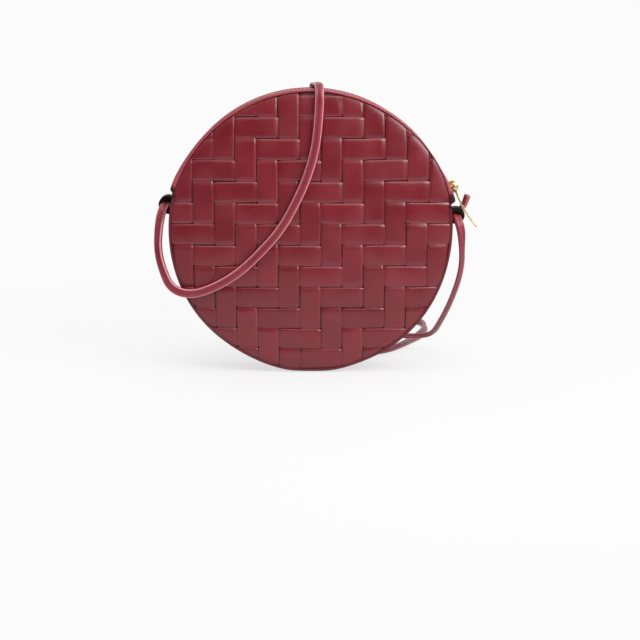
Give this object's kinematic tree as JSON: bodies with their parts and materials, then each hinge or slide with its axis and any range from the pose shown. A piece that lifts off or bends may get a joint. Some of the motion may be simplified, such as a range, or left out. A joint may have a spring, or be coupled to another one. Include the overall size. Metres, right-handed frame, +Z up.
{
  "type": "round shoulder bag",
  "caption": "Round zip-top shoulder bag of woven burgundy leather with a narrow gusset, a thin leather strap on side loops and a gold zip slider with a long curved pull.",
  "frame": {"origin": "on the floor, under the middle of the bag's round body, at the centre of its flat foot", "axes": "+Z up, -Y out of the front panel, +X towards the end of the zip where the closed slider rests"},
  "size_m": [0.229, 0.2108, 0.2059],
  "materials": {
    "panel_leather": "semi-gloss",
    "strap_leather": "semi-gloss",
    "loop_leather": "satin",
    "stiffener_board": "matte",
    "lining_fabric": "matte",
    "zip_tape": "matte",
    "gold_metal": "polished"
  },
  "bodies": {
    "bag": {"front_panel": "panel_leather", "rear_panel": "panel_leather", "lower_gusset": "panel_leather", "front_rim": "panel_leather", "rear_rim": "panel_leather", "front_zip_facing": "panel_leather", "rear_zip_facing": "panel_leather", "left_end_tab": "panel_leather", "right_end_tab": "panel_leather", "strap_right_drop": "strap_leather", "strap_floor_loop": "strap_leather", "strap_back_rise": "strap_leather", "strap_over_top": "strap_leather", "strap_front_drape": "strap_leather", "left_strap_loop": "loop_leather", "right_strap_loop": "loop_leather", "front_stiffener": "stiffener_board", "rear_stiffener": "stiffener_board", "front_lining": "lining_fabric", "rear_lining": "lining_fabric", "gusset_lining": "lining_fabric", "front_zip_lining": "lining_fabric", "rear_zip_lining": "lining_fabric", "inner_pocket": "lining_fabric", "pocket_binding": "lining_fabric", "front_zip_tape": "zip_tape", "rear_zip_tape": "zip_tape", "front_zip_teeth": "gold_metal", "rear_zip_teeth": "gold_metal", "zip_top_stops": "gold_metal", "zip_bottom_stop": "gold_metal"},
    "slider": {"zip_slider": "gold_metal"},
    "pull": {"zip_pull": "gold_metal"}
  },
  "joints": [
    {"name": "zip_slide", "type": "hinge", "parent": "bag", "child": "slider", "pos_m": [0, 0, 0.0992], "axis": [0, -1, 0], "range_deg": [0, 140.4], "deforming": ["front_zip_teeth", "rear_zip_teeth", "strap_over_top"]},
    {"name": "pull_swing", "type": "hinge", "parent": "slider", "child": "pull", "pos_m": [0.10274, 0, 0.13119], "axis": [0, -1, 0], "range_deg": [0, 155]}
  ]
}
